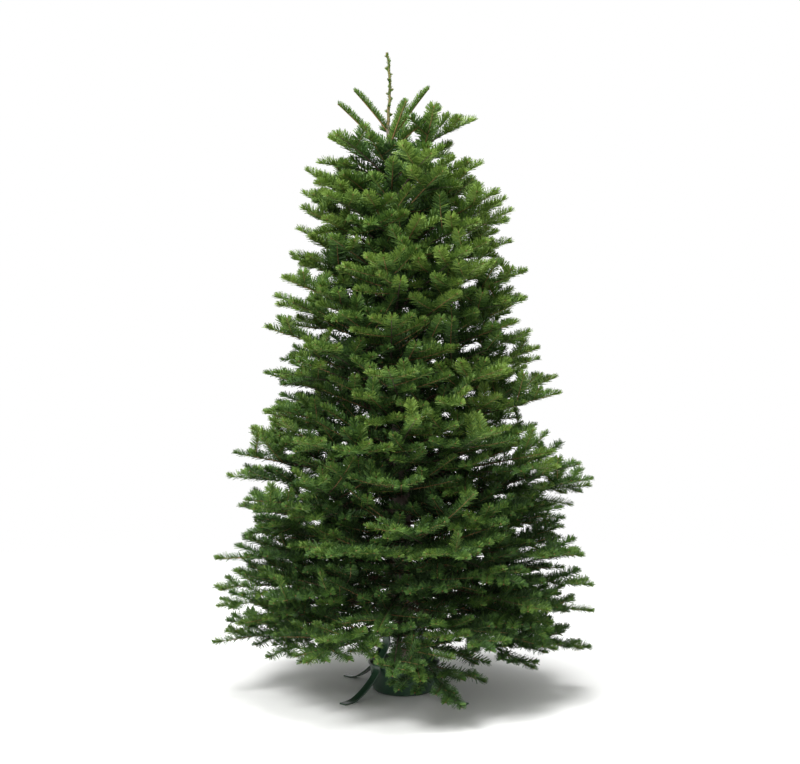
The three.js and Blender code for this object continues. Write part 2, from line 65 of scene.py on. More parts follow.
UP = np.array([0.0, 0.0, 1.0])
FRONT = np.array([0.0, -1.0, 0.0])

# The whole tree, as in the model
CROWN_SEED = 274
TIP_Z = 2200
TOP_NODE_Z = 1950
FLOOR_CLEARANCE = 60
CUT_Z = 4.3
TRUNK = Values(butt=43, top=6, taper=0.92, flare=6, flare_height=70)
TRUNK_LEAN = Values(x=-55, bend=1.6, y=12)

# The whorls from the top down: height, number of limbs, azimuth of the first one, companions of each and
# how far they turn away, and the share of the main limb that is a bare bough
Whorl = namedtuple("Whorl", "z count turn companions fan bare")
WHORLS = [
    Whorl(1790, 5, 10, 1, 30, 0),
    Whorl(1605, 4, 46, 2, 30, 0),
    Whorl(1430, 4, 8, 2, 30, 0),
    Whorl(1240, 4, -30, 2, 32, 0),
    Whorl(1050, 5, 2, 2, 26, 0),
    Whorl(850, 5, 36, 2, 26, 0),
    Whorl(650, 5, -2, 2, 32, 0.28),
    Whorl(455, 5, 126, 2, 32, 0.28),
]
CROWN_BASE_Z = 255
WHORL_ORDER = {4: [0, 2, 1, 3], 5: [0, 2, 4, 1, 3]}

# The crown's outline, from the lowest limb up: height on the trunk, reach to the left and to the right,
# and elevation at the trunk and at the tip
OUTLINE = [
    (270, 600, 630, -11, -8),
    (380, 640, 630, -5, -3),
    (480, 635, 660, 0, 1),
    (600, 590, 630, 6, 4),
    (800, 547, 563, 10, 6),
    (1000, 461, 494, 14, 7),
    (1200, 420, 450, 18, 9),
    (1400, 353, 412, 24, 12),
    (1600, 285, 340, 32, 16),
    (1790, 232, 280, 42, 22),
]

# The top shoots: azimuth, height on the trunk, length and elevation
TOP_SHOOTS = [
    (171, 1926, 172, 50),
    (196, 1846, 232, 43),
    (18, 1886, 226, 53),
    (-14, 1858, 216, 38),
    (-68, 1868, 196, 44),
]

# The limbs
LIMB_JITTER = Values(azimuth=6, height=8, reach=0.03, rise=3, fan=0.12, companion_reach=0.04)
COMPANIONS = [
    Values(hand=1, drop=18, reach=0.88, start=0.06),
    Values(hand=-1, drop=-12, reach=0.9, start=0.1),
]
COMPANION_THICKNESS = 0.75
TIP_GROWTH = (1.045, 1.01)  # of a limb, as a share of its length in the model, by height
LIMB_LEAN = 6  # turn of a limb's spray about the limb, either way

# The short limbs between the whorls, and the heights over which some of these values come in
TRUNK_SHOOTS = Values(
    heights=(256, 1800), turn=137.5, spacing=(8, 18.5), spacing_heights=(360, 560), reach=(0.86, 1.08),
    longest=650, top_reach=0.6, top_heights=(1480, 1740), rise=6, rise_heights=(400, 900), tip_rise=1.5,
)

# The side shoots: along a parent come nodes, with a shoot on either hand
GROWTH_SEED = 47
STEP = 24  # between the points of a middle line
LEAST_STEP = 2
ORDERS = 3
YEAR = (105, 160)  # growth of one year, by height
YEAR_SHARE = [0.7, 0.82, 0.85, 0.85]  # of that, which a limb or shoot of each order had this year
FIRST_NODE = (0.8, 1.05)  # from the parent's tip, as a share of its growth of this year
LAST_NODE = 12  # from the parent's base
NODE_SPACING = (60, 76)  # by height
NODE_JITTER = Values(spacing=(0.85, 1.15), place=5)
SIDE_SHARE = [0.86, 0.8, 0.76]  # of what the parent of each order still grows beyond the node
SIDE_LENGTH = Values(share=(0.82, 1.05), more=8, shortest=58)
SIDE_ANGLE = Values(mean=58, spread=8, sweep=12)
SIDE_LIFT = Values(mean=2, spread=3.5, curl=5, top=2.4)  # at the crown's top all of it times "top"
SIDE_LEAN = 10  # turn of a shoot's spray about the shoot, either way
TRIES = [0, 8, -7, 15]  # changes of elevation, until a shoot has room
ENOUGH_ROOM = 0.9  # of the wanted length
RANK_SPREAD = 0.25  # the outermost shoots grow first, but not strictly
TINT = Values(parent=0.75, own=0.5)

# The short shoots that stand up from the nodes of the first orders
RIDGE = Values(orders=2, chance=(0.08, 0.35), length=(45, 80), angle=(25, 60), lift=52, place=0.4)

# The grid that keeps twigs apart, which isn't asked about the first stretch of a twig
CELL = np.array([52.0, 52.0, 37.0])
ROOT_FREE = 34

# Twigs, which have three sides where they are short, and buds
TWIG = Values(tip=0.95, share=0.0095, end=0.6, short=110)
BUD = Values(radius=2.0, length=6.5, widest=0.3)

# Needles: "start" and "full" are shares of the crown's radius, between which they go from wide to narrow
NEEDLE_COUNT = 430_000
NEEDLE = Values(length=27.5, half_width=1.42, inner_half_width=2.4, start=0.4, full=0.8)
NEEDLE_ENDS = Values(root=0.8, tip=0.68)  # of the half width
NEEDLE_LENGTH = Values(share=(0.8, 1.08), tip=0.7)
NEEDLE_PLACE = (0.2, 0.8)  # of its own share of the twig
NEEDLE_SPREAD = Values(mean=60, spread=7, tip=36)  # angle from the twig
NEEDLE_RISE = Values(mean=15, spread=48, slope=20, level=0.4)  # above the twig's sides
NEEDLE_LIFT = 0.16
NEEDLE_ROLL = 70
TIP_CROWD = 0.9  # how many more needles a shoot's last stretch has
TIP_STRETCH = 26  # of a shoot, where its needles close round the bud

# Where needles grow, by the share of the crown's radius: none in the core, and most in the shell
CORE = Values(share=(0.3, -0.2), height=1500, depth=0.2)
SHELL = Values(start=0.4, full=0.85, inner=0.35)

# How much longer and denser needles grow up the crown
VIGOUR = Values(heights=(900, 1850), size=1.27, weight=1.5)

# What makes a needle's tone: lighter where it is young, its own colour, and lighter toward the crown's
# outside and up toward its top as painted light, so darker inside the crown and low down as painted shade,
# partly also the inner needles' own darker green
TONE = Values(out=1.25, young=0.28, young_stretch=45, tint=0.32, height=1.0, spread=0.25)

# The greens from the highest tone to the lowest, young, outer and high to old, inner and low, so partly
# painted light and painted shade: share of all needles, roughness and colour
GREENS = {
    "needles_fresh_and_lit": (0.1, 0.55, (0.15, 0.238, 0.038)),
    "needles_bright": (0.21, 0.57, (0.094, 0.175, 0.03)),
    "needles_middle": (0.23, 0.59, (0.06, 0.134, 0.022)),
    "needles_deep": (0.23, 0.61, (0.043, 0.1, 0.022)),
    "needles_shaded": (0.23, 0.63, (0.03, 0.066, 0.018)),
}
NEEDLE_GLOSS = Values(specular=0.28, scale=320, less=0.08, more=0.1)

# How needles stand: angles above the twig's sides and from the twig, length as a share, and half width
Stance = namedtuple("Stance", "rise rise_spread angle size width")

# The top shoots, the leader and the tufts along it
TOP_GROWTH = Values(length=1.05, bend=3, bare=(8, 30), weight=1.7, tone=1.9)
TOP_STANCE = Stance(48, 40, 58, 0.9, 1.42)
LEADER = Values(radius=(5.4, 3.0), end=0.25, weight=0.75, below_tip=9, points=40, sides=12)
LEADER_RELIEF = Values(height=0.13, waves=(6, 38))
LEADER_STANCE = Stance(20, 80, 24, 0.5, 1.42)
TUFTS = Values(count=13, range=(0.12, 0.95), lean=34, turn=138, sunk=0.7, weight=2.0)
TUFT_JITTER = Values(share=0.02, turn=5)
TUFT_LENGTH = Values(mean=8, spread=0.4, turn=3)
TUFT_STANCE = Stance(0, 90, 34, 0.5, 1.42)
LEADER_BUDS = Values(count=4, turn=1.6, lean=0.7, below_tip=3, size=1.1, end=1.4, tuft=1.2)

# The leader's bends: share of its length, and how far right and back it is there. Then its small waves,
# right and back: size, turn from end to end, and turn at the start.
LEADER_BENDS = [(0, 0, 0), (0.25, 3, 0), (0.5, 7, 2), (0.78, 4, 3), (1, -2, 4)]
LEADER_WAVES = [(1.1, 23, 0), (1.0, 17, 1)]

# The relief of the trunk's bark: waves round and up the trunk, and heights
TRUNK_MESH = (420, 48)  # rings and sides
TRUNK_SWELL = Values(waves=(5, 14), share=0.012)
TRUNK_GRAIN = Values(waves=(34, 190), height=0.55, top=0.4)
BLISTERS = Values(waves=(16, 230), level=0.72, height=5.2, butt=(0, 0.1))
LIMB_COLLAR = Values(height=4.5, rise=16, turn=0.5)

# The limbs' bark: its mesh, the limb's taper, the collar at its foot and the rings of old bud scars
LIMB_MESH = Values(step=15, sides=9)
LIMB_RADIUS = Values(base=2.55, share=0.0119, tip=1.1, taper=1.7, end=0.3)
LIMB_FOOT = Values(height=0.35, length=22)
SCARS = Values(height=0.1, place=4, width=9)
LIMB_GRAIN = Values(height=0.07, waves=5)

# The barks: patches for each metre, strength of the grain, and the colours of the patches. The grain is
# "finer" times as fine, and both are drawn out upward.
BARK = Values(
    patches=(8, (1, 1, 0.45)), finer=6, grain=(6, (1, 1, 0.3)), depth=0.001, inputs={"Roughness": 0.86},
)
BARKS = {
    "trunk bark": (
        38, 0.5, {0.3: (0.075, 0.058, 0.046), 0.5: (0.16, 0.13, 0.105), 0.72: (0.27, 0.25, 0.22)},
    ),
    "bough bark": (60, 0.4, {0.3: (0.06, 0.042, 0.03), 0.6: (0.13, 0.095, 0.07), 0.8: (0.2, 0.17, 0.14)}),
    "old twig bark": (80, 0.3, {0.3: (0.075, 0.045, 0.026), 0.7: (0.16, 0.1, 0.06)}),
    "young twig bark": (90, 0.2, {0.3: (0.2, 0.11, 0.045), 0.7: (0.36, 0.21, 0.09)}),
    "leader bark": (
        70, 0.3, {0.32: (0.07, 0.075, 0.025), 0.5: (0.15, 0.12, 0.05), 0.7: (0.24, 0.15, 0.075)},
    ),
    "bud scales": (220, 0.2, {0.3: (0.16, 0.07, 0.03), 0.7: (0.32, 0.16, 0.07)}),
}

# The stand's finishes by slot: name, colours, noises of the patches and of the grain, bump and inputs
FINISHES = {
    "enamel": (
        "green enamel", {0.35: (0.012, 0.045, 0.022), 0.75: (0.022, 0.07, 0.036)},
        (9, 5), (420, 2), (0.12, 0.0006), {"Roughness": 0.34, "Coat Weight": 0.25},
    ),
    "zinc": (
        "zinc plating", {0.3: (0.42, 0.43, 0.44), 0.7: (0.6, 0.61, 0.62)},
        (45, 4), (160, 3, (1, 1, 12)), (0.1, 0.0004), {"Metallic": 1.0, "Roughness": 0.33},
    ),
}

# The stand, as in the model
BASIN = Values(flat=84, foot=98, shoulder=110, rim=122, lip=4, height=104, wall=2)
BASIN_BENDS = Values(shoulder=12, neck=92)  # heights
COLLAR = Values(inner=79, outer=84, bottom=165, top=205)
LEG = Values(width=30, thickness=5, turn=45, from_collar=0.3, from_rim=1.3)
LEG_EDGE = Values(inset=0.7, share=0.3)
LEG_BY_RIM = (110, 90)  # heights
LEG_BENDS = [(155.8, 58), (212, 18), (252, 2.5), (292, 2.5)]  # radii and heights, past the rim
SCREW = Values(radius=5, end=122, pitch=2.5, thread=0.4, step=0.5, sides=18, from_trunk=1.5)
SCREW_END = 0.1  # of its radius
SCREW_PAD = [(-1, 2.0), (0, 9.0), (4, 9.0), (5, 5.0)]  # place along the screw and radius
PAD_SIDES = 24
SCREW_BAR = Values(length=44, radius=3.5, end_radius=0.2, round=2, inset=4)
HAIR = 1e-4  # keeps rings apart that would lie at one place
TURNED_SIDES = 112
NEAR_AXIS = 0.01
SHARP_EDGE = 38

# The studio, in metres and watts
CAMERA = Values(x=-0.014, distance=5.5, height=1.37, tilt=3.1, lens=72)
WORLD_LIGHT = 0.58
FLOOR = Values(size=9, fade=(1.3, 3.8), roughness=0.8, speck=60)
FLOOR_STOPS = {0.2: (0.88, 0.88, 0.87), 0.8: (0.8976, 0.8976, 0.8874)}

# The square lamps: name, place, aim, size and power
LAMPS = [
    ("key", (-2.7, -3.3, 4.5), (0, 0, 1.3), 2.0, 335),
    ("fill", (3.4, -3.0, 1.8), (0, 0, 1.0), 2.4, 18),
    ("top", (0.2, -0.4, 4.6), (0, 0, 1.0), 2.6, 262),
]


def lerp(a, b, t):
    return a + (b - a) * t


def by_height(pair, z):
    """What goes from the first of a pair at the floor to the second at the crown's top."""
    return lerp(*pair, min(1, z / TOP_NODE_Z))


def unit(v):
    """A vector, or each row of an array, brought to length 1."""
    v = np.asarray(v, float)
    return v / np.linalg.norm(v, axis=-1, keepdims=True)


def smooth_step(low, high, value):
    t = np.clip((value - low) / (high - low), 0, 1)
    return t * t * (3 - 2 * t)


def dice(seed):
    """Repeatable numbers from -1 to 1, the same as the model's (the mulberry32 rule)."""
    mask = 0xFFFFFFFF
    while True:
        seed = (seed + 0x6D2B79F5) & mask
        t = ((seed ^ (seed >> 15)) * (seed | 1)) & mask
        t ^= (t + ((t ^ (t >> 7)) * (t | 61) & mask)) & mask
        yield ((t ^ (t >> 14)) & mask) / 4294967296 * 2 - 1


# The limbs, by the model's rule


def trunk_axis(z):
    t = np.maximum(0, z) / TOP_NODE_Z
    x = TRUNK_LEAN.x * t ** TRUNK_LEAN.bend
    return np.stack([x, TRUNK_LEAN.y * np.sin(pi * t), z + 0 * t], axis=-1)


def trunk_radius(z):
    t = np.clip((z - CUT_Z) / (TOP_NODE_Z - CUT_Z), 0, 1)
    flare = TRUNK.flare * np.exp(-(z - CUT_Z) / TRUNK.flare_height)
    return lerp(TRUNK.butt, TRUNK.top, t ** TRUNK.taper) + flare


def outline_at(z):
    heights, *columns = np.array(OUTLINE).T
    return [np.interp(z, heights, column) for column in columns]


def limb_at(z, azimuth):
    """The reach of a limb at a height and azimuth, and its elevation at the trunk and at the tip."""
    left, right, rise, tip_rise = outline_at(z)
    return lerp(right, left, (1 - cos(radians(azimuth))) / 2), rise, tip_rise


class Line:
    """The middle line of a limb or shoot, through points that lie a short step apart."""

    def __init__(self, points):
        steps = np.diff(points, axis=0)
        self.points = points
        self.tip = points[-1]
        self.middles = (points[1:] + points[:-1]) / 2
        self.steps = np.linalg.norm(steps, axis=1)
        self.forwards = steps / self.steps[:, None]
        self.distances = np.concatenate([[0], np.cumsum(self.steps)])
        self.length = self.distances[-1]

    def at(self, distance):
        """The point at a distance from the start, and the direction there."""
        i = int(np.searchsorted(self.distances, distance)) - 1
        i = min(max(i, 0), len(self.steps) - 1)
        return self.points[i] + self.forwards[i] * (distance - self.distances[i]), self.forwards[i]

    def cut(self, length):
        """The same line, ended at a length."""
        if length >= self.length:
            return self
        keep = self.distances < length - LEAST_STEP
        return Line(np.vstack([self.points[keep], self.at(length)[0]]))


def line_along(start, directions, length):
    steps = unit(directions) * (length / len(directions))
    return Line(np.vstack([start, start + np.cumsum(steps, axis=0)]))


def step_count(length):
    return max(2, round(length / STEP))


def limb_line(start, azimuth, rise, tip_rise, reach):
    length = reach / cos(radians((rise + tip_rise) / 2))
    count = step_count(length)
    elevation = np.radians(lerp(rise, tip_rise, (np.arange(count) + 0.5) / count))
    flat = np.cos(elevation)
    heading = radians(azimuth)
    directions = np.stack([cos(heading) * flat, sin(heading) * flat, np.sin(elevation)], axis=1)
    return line_along(start, directions, length)


def plan_limbs():
    """Every main and companion limb: its line, its thickness as a share, and its share without shoots."""
    limbs = []
    jitter = LIMB_JITTER
    for tier, whorl in enumerate(WHORLS):
        below = WHORLS[tier + 1].z if tier + 1 < len(WHORLS) else CROWN_BASE_Z
        for i in range(whorl.count):
            roll = dice(CROWN_SEED + tier * 16 + i)
            azimuth = whorl.turn + 360 / whorl.count * i + jitter.azimuth * next(roll)
            drop = WHORL_ORDER[whorl.count][i] / whorl.count
            z = lerp(whorl.z, below, drop) + jitter.height * next(roll)
            reach, rise, tip_rise = limb_at(z, azimuth)
            reach *= 1 + jitter.reach * next(roll)
            rise += jitter.rise * next(roll)
            main = limb_line(trunk_axis(z), azimuth, rise, tip_rise, reach)
            limbs.append((main, 1.0, whorl.bare))
            swap = -1 if i % 2 else 1
            for companion in COMPANIONS[: whorl.companions]:
                fork = main.at((whorl.bare + companion.start) * main.length)[0]
                turn = companion.hand * swap * whorl.fan * (1 + jitter.fan * next(roll))
                first = rise - companion.drop + jitter.rise * next(roll)
                last = tip_rise - companion.drop + jitter.rise * next(roll)
                share = companion.reach + jitter.companion_reach * next(roll) - whorl.bare
                line = limb_line(fork, azimuth + turn, first, last, reach * share)
                limbs.append((line, COMPANION_THICKNESS, 0))
    return limbs


def longer(line):
    """A limb with its last shoot grown out, a little beyond the model's."""
    more = (by_height(TIP_GROWTH, line.tip[2]) - 1) * line.length
    return Line(np.vstack([line.points, line.tip + line.forwards[-1] * more]))


def trunk_shoots(rng):
    """Short limbs straight from the trunk, in one long spiral up it."""
    rule = TRUNK_SHOOTS
    lines = []
    z, last = rule.heights
    while z < last:
        azimuth = rule.turn * len(lines)
        reach, rise, tip_rise = limb_at(z, azimuth)
        reach = min(reach * rng.uniform(*rule.reach), rule.longest)
        reach *= lerp(1, rule.top_reach, smooth_step(*rule.top_heights, z))
        more = rule.rise * smooth_step(*rule.rise_heights, z)
        tip_rise += rule.tip_rise * more
        lines.append(limb_line(trunk_axis(z), azimuth, rise + more, tip_rise, reach))
        z += lerp(*rule.spacing, smooth_step(*rule.spacing_heights, z))
    return lines


# The shoots

# A side shoot that a twig would grow, from a distance along it
Wish = namedtuple("Wish", "distance hand angle lift length")

# A limb or shoot: its line, the way up of its spray, its order and tint, how far it is bare, and whether
# it is shown as a twig, which a limb with a bark of its own isn't
Twig = namedtuple("Twig", "line up order tint bare shown", defaults=(ORDERS, 0, 0, True))


def up_of(forward, lean=0.0):
    """The upward direction across a twig, turned about it by an angle in degrees."""
    side = unit(np.cross(UP, forward))
    up = np.cross(forward, side)
    return unit(up * cos(radians(lean)) + side * sin(radians(lean)))


class Space:
    """The grid of cells that already hold a twig."""

    LOW = np.array([-800.0, -800.0, 0.0])
    HIGH = np.array([800.0, 800.0, 2400.0])

    def __init__(self):
        self.taken = np.zeros(np.ceil((self.HIGH - self.LOW) / CELL).astype(int), bool)

    def cells(self, points):
        index = np.floor((points - self.LOW) / CELL).astype(int)
        return tuple(np.clip(index, 0, np.array(self.taken.shape) - 1).T)

    def take(self, line):
        self.taken[self.cells(line.points)] = True
        self.taken[self.cells(line.middles)] = True

    def free_length(self, line):
        """How far a line runs before it meets a taken cell, not counting its first stretch."""
        samples = np.stack([line.middles, line.points[1:]], axis=1).reshape(-1, 3)
        half_way = (line.distances[1:] + line.distances[:-1]) / 2
        distances = np.stack([half_way, line.distances[1:]], axis=1).ravel()
        blocked = self.taken[self.cells(samples)] & (distances > ROOT_FREE)
        blocked |= samples[:, 2] < FLOOR_CLEARANCE
        return distances[np.argmax(blocked)] - STEP / 2 if blocked.any() else line.length


def core_share(points):
    """How far out points lie, from 0 at the trunk to 1 at the crown's outline."""
    offset = points[:, :2] - trunk_axis(points[:, 2])[:, :2]
    radius = np.linalg.norm(offset, axis=1)
    left, right, _, _ = outline_at(points[:, 2])
    leftness = (1 - offset[:, 0] / np.maximum(radius, 1)) / 2
    return radius / lerp(right, left, leftness)


def core_at(z):
    """The share of the crown's radius that is bare at a height."""
    return lerp(*CORE.share, np.clip(z / CORE.height, 0, 1))


def side_wishes(parent, rng):
    """The side shoots that a twig would grow, if all of them had room."""
    wishes = []
    length = parent.line.length
    year = YEAR_SHARE[parent.order] * by_height(YEAR, parent.line.tip[2])
    from_tip = year * rng.uniform(*FIRST_NODE)
    spacing = by_height(NODE_SPACING, parent.line.tip[2])
    ridge_chance = by_height(RIDGE.chance, parent.line.tip[2])
    place = NODE_JITTER.place
    while from_tip < length - LAST_NODE:
        distance = length - from_tip
        for hand in (-1, 1):
            wanted = SIDE_SHARE[parent.order] * from_tip * rng.uniform(*SIDE_LENGTH.share)
            angle = SIDE_ANGLE.mean + SIDE_ANGLE.spread * rng.uniform(-1, 1)
            lift = SIDE_LIFT.mean + SIDE_LIFT.spread * rng.uniform(-1, 1)
            node = distance + rng.uniform(-place, place)
            wishes.append(Wish(node, hand, angle, lift, wanted + SIDE_LENGTH.more))
        if parent.order < RIDGE.orders and rng.random() < ridge_chance:
            wanted = rng.uniform(*RIDGE.length)
            hand = rng.choice((-1, 1))
            angle = rng.uniform(*RIDGE.angle)
            wishes.append(Wish(distance + RIDGE.place * spacing, hand, angle, RIDGE.lift, wanted))
        from_tip += spacing * rng.uniform(*NODE_JITTER.spacing)
    return wishes


def side_line(parent, wish, change):
    """A shoot's line, raised by some degrees: it leaves its parent at an angle and bends forward and up."""
    point, forward = parent.line.at(wish.distance)
    side = unit(np.cross(parent.up, forward)) * wish.hand
    up = np.cross(forward, side) * wish.hand
    count = step_count(wish.length)
    t = (np.arange(count) + 0.5) / count
    turn = np.radians(wish.angle - SIDE_ANGLE.sweep * t)[:, None]
    more = by_height((1, SIDE_LIFT.top), point[2])
    rise = np.radians((wish.lift + change + SIDE_LIFT.curl * t) * more)[:, None]
    directions = (forward * np.cos(turn) + side * np.sin(turn)) * np.cos(rise) + up * np.sin(rise)
    return line_along(point, directions, wish.length)


def grow_side(parent, wish, space):
    """The line of the side shoot that a wish turns into where there is room for it, or None."""
    free, best = -1, None
    for change in TRIES:
        line = side_line(parent, wish, change)
        room = space.free_length(line)
        if room > free:
            free, best = room, line
        if free > ENOUGH_ROOM * wish.length:
            break
    return best.cut(free) if free >= SIDE_LENGTH.shortest else None


def grow_crown(limbs, rng):
    """All twigs of the crown: the limbs, then three orders of side shoots, the outermost first."""
    space = Space()
    twigs = []
    starts = [(longer(line), bare) for line, _, bare in limbs] + [(line, 0) for line in trunk_shoots(rng)]
    for line, bare in starts:
        up = up_of(line.forwards[0], LIMB_LEAN * rng.uniform(-1, 1))
        shown = len(twigs) >= len(limbs)
        twigs.append(Twig(line, up, 0, rng.uniform(-1, 1), bare * line.length, shown))
        space.take(line)
    parents = twigs
    for order in range(1, ORDERS + 1):
        wishes = [(parent, wish) for parent in parents for wish in side_wishes(parent, rng)]
        roots = np.array([parent.line.at(wish.distance)[0] for parent, wish in wishes])
        out = core_share(roots)
        in_core = (out < core_at(roots[:, 2])) & (order > 1)
        parents = []
        for rank in np.argsort(-(out + RANK_SPREAD * rng.uniform(-1, 1, len(wishes)))):
            parent, wish = wishes[rank]
            line = None if in_core[rank] else grow_side(parent, wish, space)
            if line is None:
                continue
            space.take(line)
            tint = rng.uniform(-1, 1)
            if order > 1:
                tint = TINT.parent * parent.tint + TINT.own * tint
            up = up_of(line.forwards[0], SIDE_LEAN * rng.uniform(-1, 1))
            parents.append(Twig(line, up, order, tint))
        twigs = twigs + parents
    return twigs


# Meshes


def add_object(name, data):
    made = bpy.data.objects.new(name, data)
    bpy.context.scene.collection.objects.link(made)
    return made


def place_piece(name, points, faces, slot, material, nodes=(), smooth=True):
    """An object from points in millimetres and faces of one size, riding with the tree."""
    mesh = bpy.data.meshes.new(name)
    mesh.from_pydata((points * METRES).tolist(), [], faces.tolist(), shade_flat=not smooth)
    mesh.materials.append(material)
    piece = add_object(name, mesh)
    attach(piece, "root")
    if nodes:
        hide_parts(*nodes)
    return piece


def model_nodes(start):
    """The names of the model's nodes that begin like this."""
    return [name for name in frame["nodes"] if name.startswith(start)]


def join(parts):
    """Several (points, faces) as one, faces renumbered."""
    starts = np.cumsum([0] + [len(points) for points, _ in parts[:-1]])
    faces = [own_faces + start for (_, own_faces), start in zip(parts, starts)]
    return np.vstack([points for points, _ in parts]), np.vstack(faces)


def ring_faces(rings, sides):
    """Quads between rings of points that follow each other."""
    ring = np.arange(rings - 1)[:, None] * sides
    corner = np.arange(sides)[None, :]
    after = (corner + 1) % sides
    quads = np.stack([ring + corner, ring + after, ring + sides + after, ring + sides + corner], axis=-1)
    return quads.reshape(-1, 4)


def circle_angles(sides):
    return 2 * pi * np.arange(sides) / sides


def tube(line, up, radii, sides):
    """An open tube with a radius at each point of its line, or one at each point and side."""
    between = unit(line.forwards[1:] + line.forwards[:-1])
    forwards = np.vstack([line.forwards[:1], between, line.forwards[-1:]])
    across = unit(np.cross(up, forwards))[:, None]
    above = np.cross(forwards, across[:, 0])[:, None]
    angles = circle_angles(sides)[None, :, None]
    circle = across * np.cos(angles) + above * np.sin(angles)
    radii = radii[:, None] if radii.ndim == 1 else radii
    points = line.points[:, None] + circle * radii[..., None]
    return points.reshape(-1, 3), ring_faces(len(line.points), sides)


# Twigs and buds


def twig_meshes(twig):
    """The last year's growth of a twig, and its older part where it has one."""
    count = len(twig.line.points)
    kept = Line(twig.line.points[sorted({*range(0, count, 2), count - 1})])
    from_tip = kept.length - kept.distances
    radii = TWIG.tip + TWIG.share * from_tip
    radii[-1] *= TWIG.end
    sides = 3 if kept.length < TWIG.short else 4
    first = int(np.argmax(from_tip <= by_height(YEAR, kept.tip[2])))
    start = max(0, first - 1)
    young = tube(Line(kept.points[start:]), twig.up, radii[start:], sides)
    if first < 2:
        return young, None
    return young, tube(Line(kept.points[:first]), twig.up, radii[:first], sides)


def bud_mesh(tip, forward, up, size=1.0):
    """A bud: a small pointed body of four sides."""
    across = unit(np.cross(up, forward))
    above = np.cross(forward, across)
    radius = BUD.radius * size
    length = BUD.length * size
    middle = tip + forward * length * BUD.widest
    ring = [middle + radius * (across * a + above * b) for a, b in ((1, 0), (0, 1), (-1, 0), (0, -1))]
    points = np.vstack([tip - forward, ring, tip + forward * length])
    faces = [(0, i % 4 + 1, i) for i in range(1, 5)]
    faces += [(5, i, i % 4 + 1) for i in range(1, 5)]
    return points, np.array(faces)


# The top


def top_shoot_twigs():
    """The one-year shoots round the leader."""
    twigs = []
    bend = TOP_GROWTH.bend
    for azimuth, z, length, rise in TOP_SHOOTS:
        reach = TOP_GROWTH.length * length * cos(radians(rise))
        line = limb_line(trunk_axis(z), azimuth, rise + bend, rise - bend, reach)
        twigs.append(Twig(line, up_of(line.forwards[0])))
    return twigs


def leader_line():
    """The leader's line, a little sinuous from node to node."""
    base = trunk_axis(TOP_NODE_Z - 1)
    t = np.linspace(0, 1, LEADER.points)
    shares, *bends = np.array(LEADER_BENDS).T
    x, y = [np.interp(t, shares, bend) for bend in bends]
    right, back = [size * np.sin(t * turn + first) for size, turn, first in LEADER_WAVES]
    z = t * (TIP_Z - LEADER.below_tip - base[2])
    return Line(base + np.stack([x + right, y + back, z], axis=1))


def leader_tufts(leader):
    """Short lines that lean out from the leader, each one with a bud at its end."""
    lines = []
    lean = radians(TUFTS.lean)
    for i in range(TUFTS.count):
        share = lerp(*TUFTS.range, i / (TUFTS.count - 1)) + TUFT_JITTER.share * sin(TUFT_JITTER.turn * i)
        point, forward = leader.at(share * leader.length)
        turn = radians(TUFTS.turn * i)
        out = np.array([cos(turn), sin(turn), 0])
        aim = out * sin(lean) + forward * cos(lean)
        length = TUFT_LENGTH.mean * (1 + TUFT_LENGTH.spread * sin(TUFT_LENGTH.turn * i))
        start = point + TUFTS.sunk * lerp(*LEADER.radius, share) * out
        lines.append(line_along(start, np.array([aim, aim, aim]), length))
    return lines


def leader_buds(leader):
    """Where the leader has buds: round its tip, and at the end of each tuft."""
    found = []
    up = np.array([0.3, 0.9, 0.1])
    for i in range(LEADER_BUDS.count):
        turn = i * LEADER_BUDS.turn
        out = np.array([cos(turn), sin(turn), 0])
        aim = unit(leader.forwards[-1] + LEADER_BUDS.lean * out)
        found.append((leader.tip - LEADER_BUDS.below_tip * UP, aim, up, LEADER_BUDS.size))
    found.append((leader.tip - UP, leader.forwards[-1], up, LEADER_BUDS.end))
    for tuft in leader_tufts(leader):
        found.append((tuft.tip, tuft.forwards[-1], np.array([0.1, 0.2, 1.0]), LEADER_BUDS.tuft))
    return found


def leader_mesh(line, rng):
    """The leader's stem with the cushions that its short needles sit on."""
    sides = LEADER.sides
    u, v = np.meshgrid(np.arange(sides) / sides, line.distances / line.length)
    relief = LEADER_RELIEF.height * wavy(rng, u, v, *LEADER_RELIEF.waves)
    radii = lerp(*LEADER.radius, v) * (1 + relief)
    radii[-1] *= LEADER.end
    return tube(line, FRONT, radii, sides)


# Needles


def stretches(line, up, weight, tone, stance):
    """The short straight stretches of a line that bear needles, as arrays with one row each."""
    count = len(line.steps)
    values = {"tone": tone, **stance._asdict()}
    columns = {name: np.broadcast_to(value, count) for name, value in values.items()}
    columns |= {"start": line.points[:-1], "end": line.points[1:], "up": np.broadcast_to(up, (count, 3))}
    return columns | {"weight": weight * line.steps, "from_tip": line.length - line.distances[:-1]}


